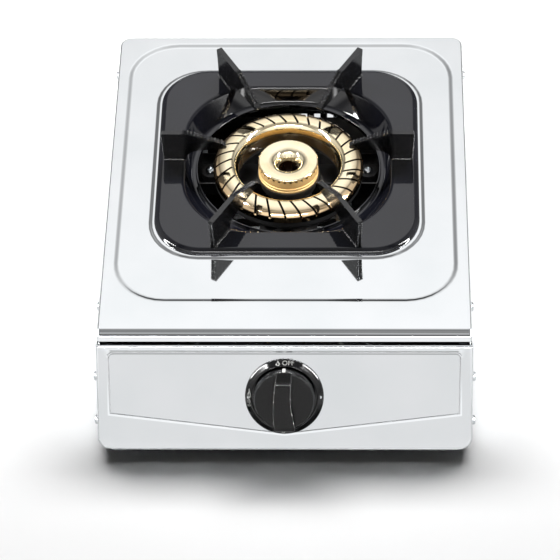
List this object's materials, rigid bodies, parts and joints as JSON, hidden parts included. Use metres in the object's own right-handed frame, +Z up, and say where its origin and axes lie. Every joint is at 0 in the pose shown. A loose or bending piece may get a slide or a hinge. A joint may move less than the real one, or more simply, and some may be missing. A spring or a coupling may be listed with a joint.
{
  "type": "single burner gas cooker",
  "caption": "Low steel table-top cooker with a dished black pan plate carrying radial toothed arms, a brass ring burner with a centre cap, and a push-and-turn knob on a sloping front.",
  "frame": {"origin": "on the surface it stands on, under the middle of the bounding box", "axes": "+X to the right seen from the front, +Y to the back where the hose tail stands out, +Z up out of the burner"},
  "size_m": [0.2864, 0.4108, 0.1172],
  "materials": {
    "casing_steel": "polished stainless steel sheet, faintly brushed",
    "galvanised_steel": "zinc-plated steel sheet",
    "screw_steel": "bright zinc-plated steel",
    "foot_rubber": "matt black rubber",
    "black_enamel": "glossy black vitreous enamel on steel",
    "arm_enamel": "satin black vitreous enamel on steel",
    "bridge_steel": "heat-proof black paint on steel",
    "cast_iron": "rough black-painted cast iron",
    "polished_brass": "polished brass",
    "plain_brass": "turned brass",
    "white_ceramic": null,
    "white_silicone": "off-white silicone sleeving",
    "gloss_black": "glossy black moulded plastic",
    "satin_black": "satin black moulded plastic",
    "cam_nylon": "natural nylon",
    "cast_alloy": "die-cast alloy",
    "pipe_alloy": "drawn aluminium tube"
  },
  "bodies": {
    "casing": {"top_plate": "casing_steel", "front_panel": "casing_steel", "side_panel_left": "casing_steel", "side_panel_right": "casing_steel", "back_panel": "casing_steel", "base_pan": "galvanised_steel", "foot_front_left": "foot_rubber", "foot_front_right": "foot_rubber", "foot_back_left": "foot_rubber", "foot_back_right": "foot_rubber", "side_screws_left": "screw_steel", "side_screws_right": "screw_steel", "base_screws": "screw_steel", "burner_bridge": "bridge_steel", "burner_body": "cast_iron", "burner_screws": "screw_steel", "injector_ring": "plain_brass", "injector_center": "plain_brass", "electrode_pin": "screw_steel", "electrode_insulator": "white_ceramic", "electrode_clamp": "galvanised_steel", "electrode_screw": "screw_steel", "ignition_lead": "white_silicone", "bezel": "gloss_black", "bezel_screws": "screw_steel", "valve_bonnet": "cast_alloy", "valve_body": "cast_alloy", "valve_bracket": "galvanised_steel", "valve_screws": "screw_steel", "piezo_igniter": "satin_black", "gas_pipe": "pipe_alloy", "pipe_nut_valve": "plain_brass", "pipe_nut_inlet": "plain_brass", "hose_tail": "plain_brass", "hose_tail_locknut": "plain_brass"},
    "pan_support": {"pan_plate": "black_enamel", "pan_arm_right": "arm_enamel", "pan_arm_back_right": "arm_enamel", "pan_arm_back_left": "arm_enamel", "pan_arm_left": "arm_enamel", "pan_arm_front_left": "arm_enamel", "pan_arm_front_right": "arm_enamel"},
    "ring_cap": {"ring_cap": "polished_brass"},
    "center_cap": {"center_cap": "polished_brass"},
    "air_shutter_ring": {"air_shutter_ring": "galvanised_steel"},
    "air_shutter_center": {"air_shutter_center": "galvanised_steel"},
    "valve_plug": {"valve_plug": "plain_brass", "valve_spring": "screw_steel"},
    "knob": {"valve_stem": "plain_brass", "stem_circlip": "screw_steel", "striker_cam": "cam_nylon", "knob": "satin_black", "knob_clip": "screw_steel"}
  },
  "joints": [
    {"name": "valve_turn", "type": "hinge", "parent": "casing", "child": "valve_plug", "pos_m": [0, -0.17581, 0.04447], "axis": [0, -0.8607, 0.509], "range_deg": [0, 180]},
    {"name": "knob_push", "type": "slide", "parent": "valve_plug", "child": "knob", "axis": [0, 0.8607, -0.509], "range_m": [0, 0.003], "stiffness_N_per_m": 1500, "springref_m": -0.003, "deforming": ["valve_spring"]},
    {"name": "pan_support_lift", "type": "slide", "parent": "casing", "child": "pan_support", "axis": [0, 0, 1], "range_m": [0, 0.1]},
    {"name": "ring_cap_lift", "type": "slide", "parent": "casing", "child": "ring_cap", "axis": [0, 0, 1], "range_m": [0, 0.012]},
    {"name": "center_cap_lift", "type": "slide", "parent": "casing", "child": "center_cap", "axis": [0, 0, 1], "range_m": [0, 0.1]},
    {"name": "air_shutter_ring_turn", "type": "hinge", "parent": "casing", "child": "air_shutter_ring", "pos_m": [-0.0125, -0.09685, 0.043], "axis": [0, -1, 0], "range_deg": [0, 50]},
    {"name": "air_shutter_center_turn", "type": "hinge", "parent": "casing", "child": "air_shutter_center", "pos_m": [0.0125, -0.09685, 0.043], "axis": [0, 1, 0], "range_deg": [0, 50]}
  ]
}
